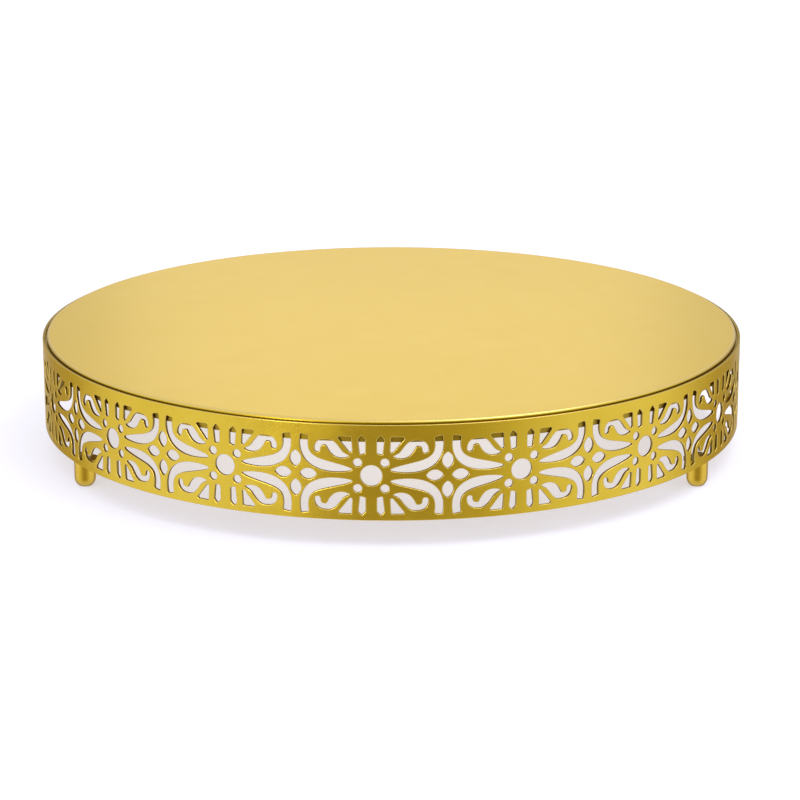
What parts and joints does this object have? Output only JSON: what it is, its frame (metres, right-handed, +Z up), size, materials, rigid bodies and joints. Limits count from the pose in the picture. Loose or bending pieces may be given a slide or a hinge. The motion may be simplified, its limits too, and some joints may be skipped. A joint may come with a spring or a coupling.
{
  "type": "cake stand",
  "caption": "Low round metal cake stand: a flat plate set into a pierced lace skirt that stands on three small domed feet.",
  "frame": {"origin": "on the table, under the middle of the round plate", "axes": "+Z up, the pictured front towards -Y, +X to the viewer's right"},
  "size_m": [0.36, 0.36, 0.06],
  "materials": {
    "plate_gold": "smooth satin gold lacquer on sheet iron",
    "skirt_gold": "bright metallic gold lacquer on pierced sheet iron",
    "inner_gold": "gold lacquer, duller on the hidden parts",
    "foot_gold": "bright metallic gold lacquer on turned iron",
    "screw_steel": "plain zinc plated steel"
  },
  "bodies": {
    "root": {"top_plate": "plate_gold", "support_hoop": "inner_gold", "skirt_front": "skirt_gold", "skirt_back": "skirt_gold", "seam_strap_left": "inner_gold", "seam_strap_right": "inner_gold", "foot_tongue_left": "inner_gold", "foot_tongue_right": "inner_gold", "foot_tongue_back": "inner_gold", "foot_washer_left": "screw_steel", "foot_washer_right": "screw_steel", "foot_washer_back": "screw_steel", "foot_screw_left": "screw_steel", "foot_screw_right": "screw_steel", "foot_screw_back": "screw_steel", "foot_left": "foot_gold", "foot_right": "foot_gold", "foot_back": "foot_gold"}
  },
  "joints": []
}
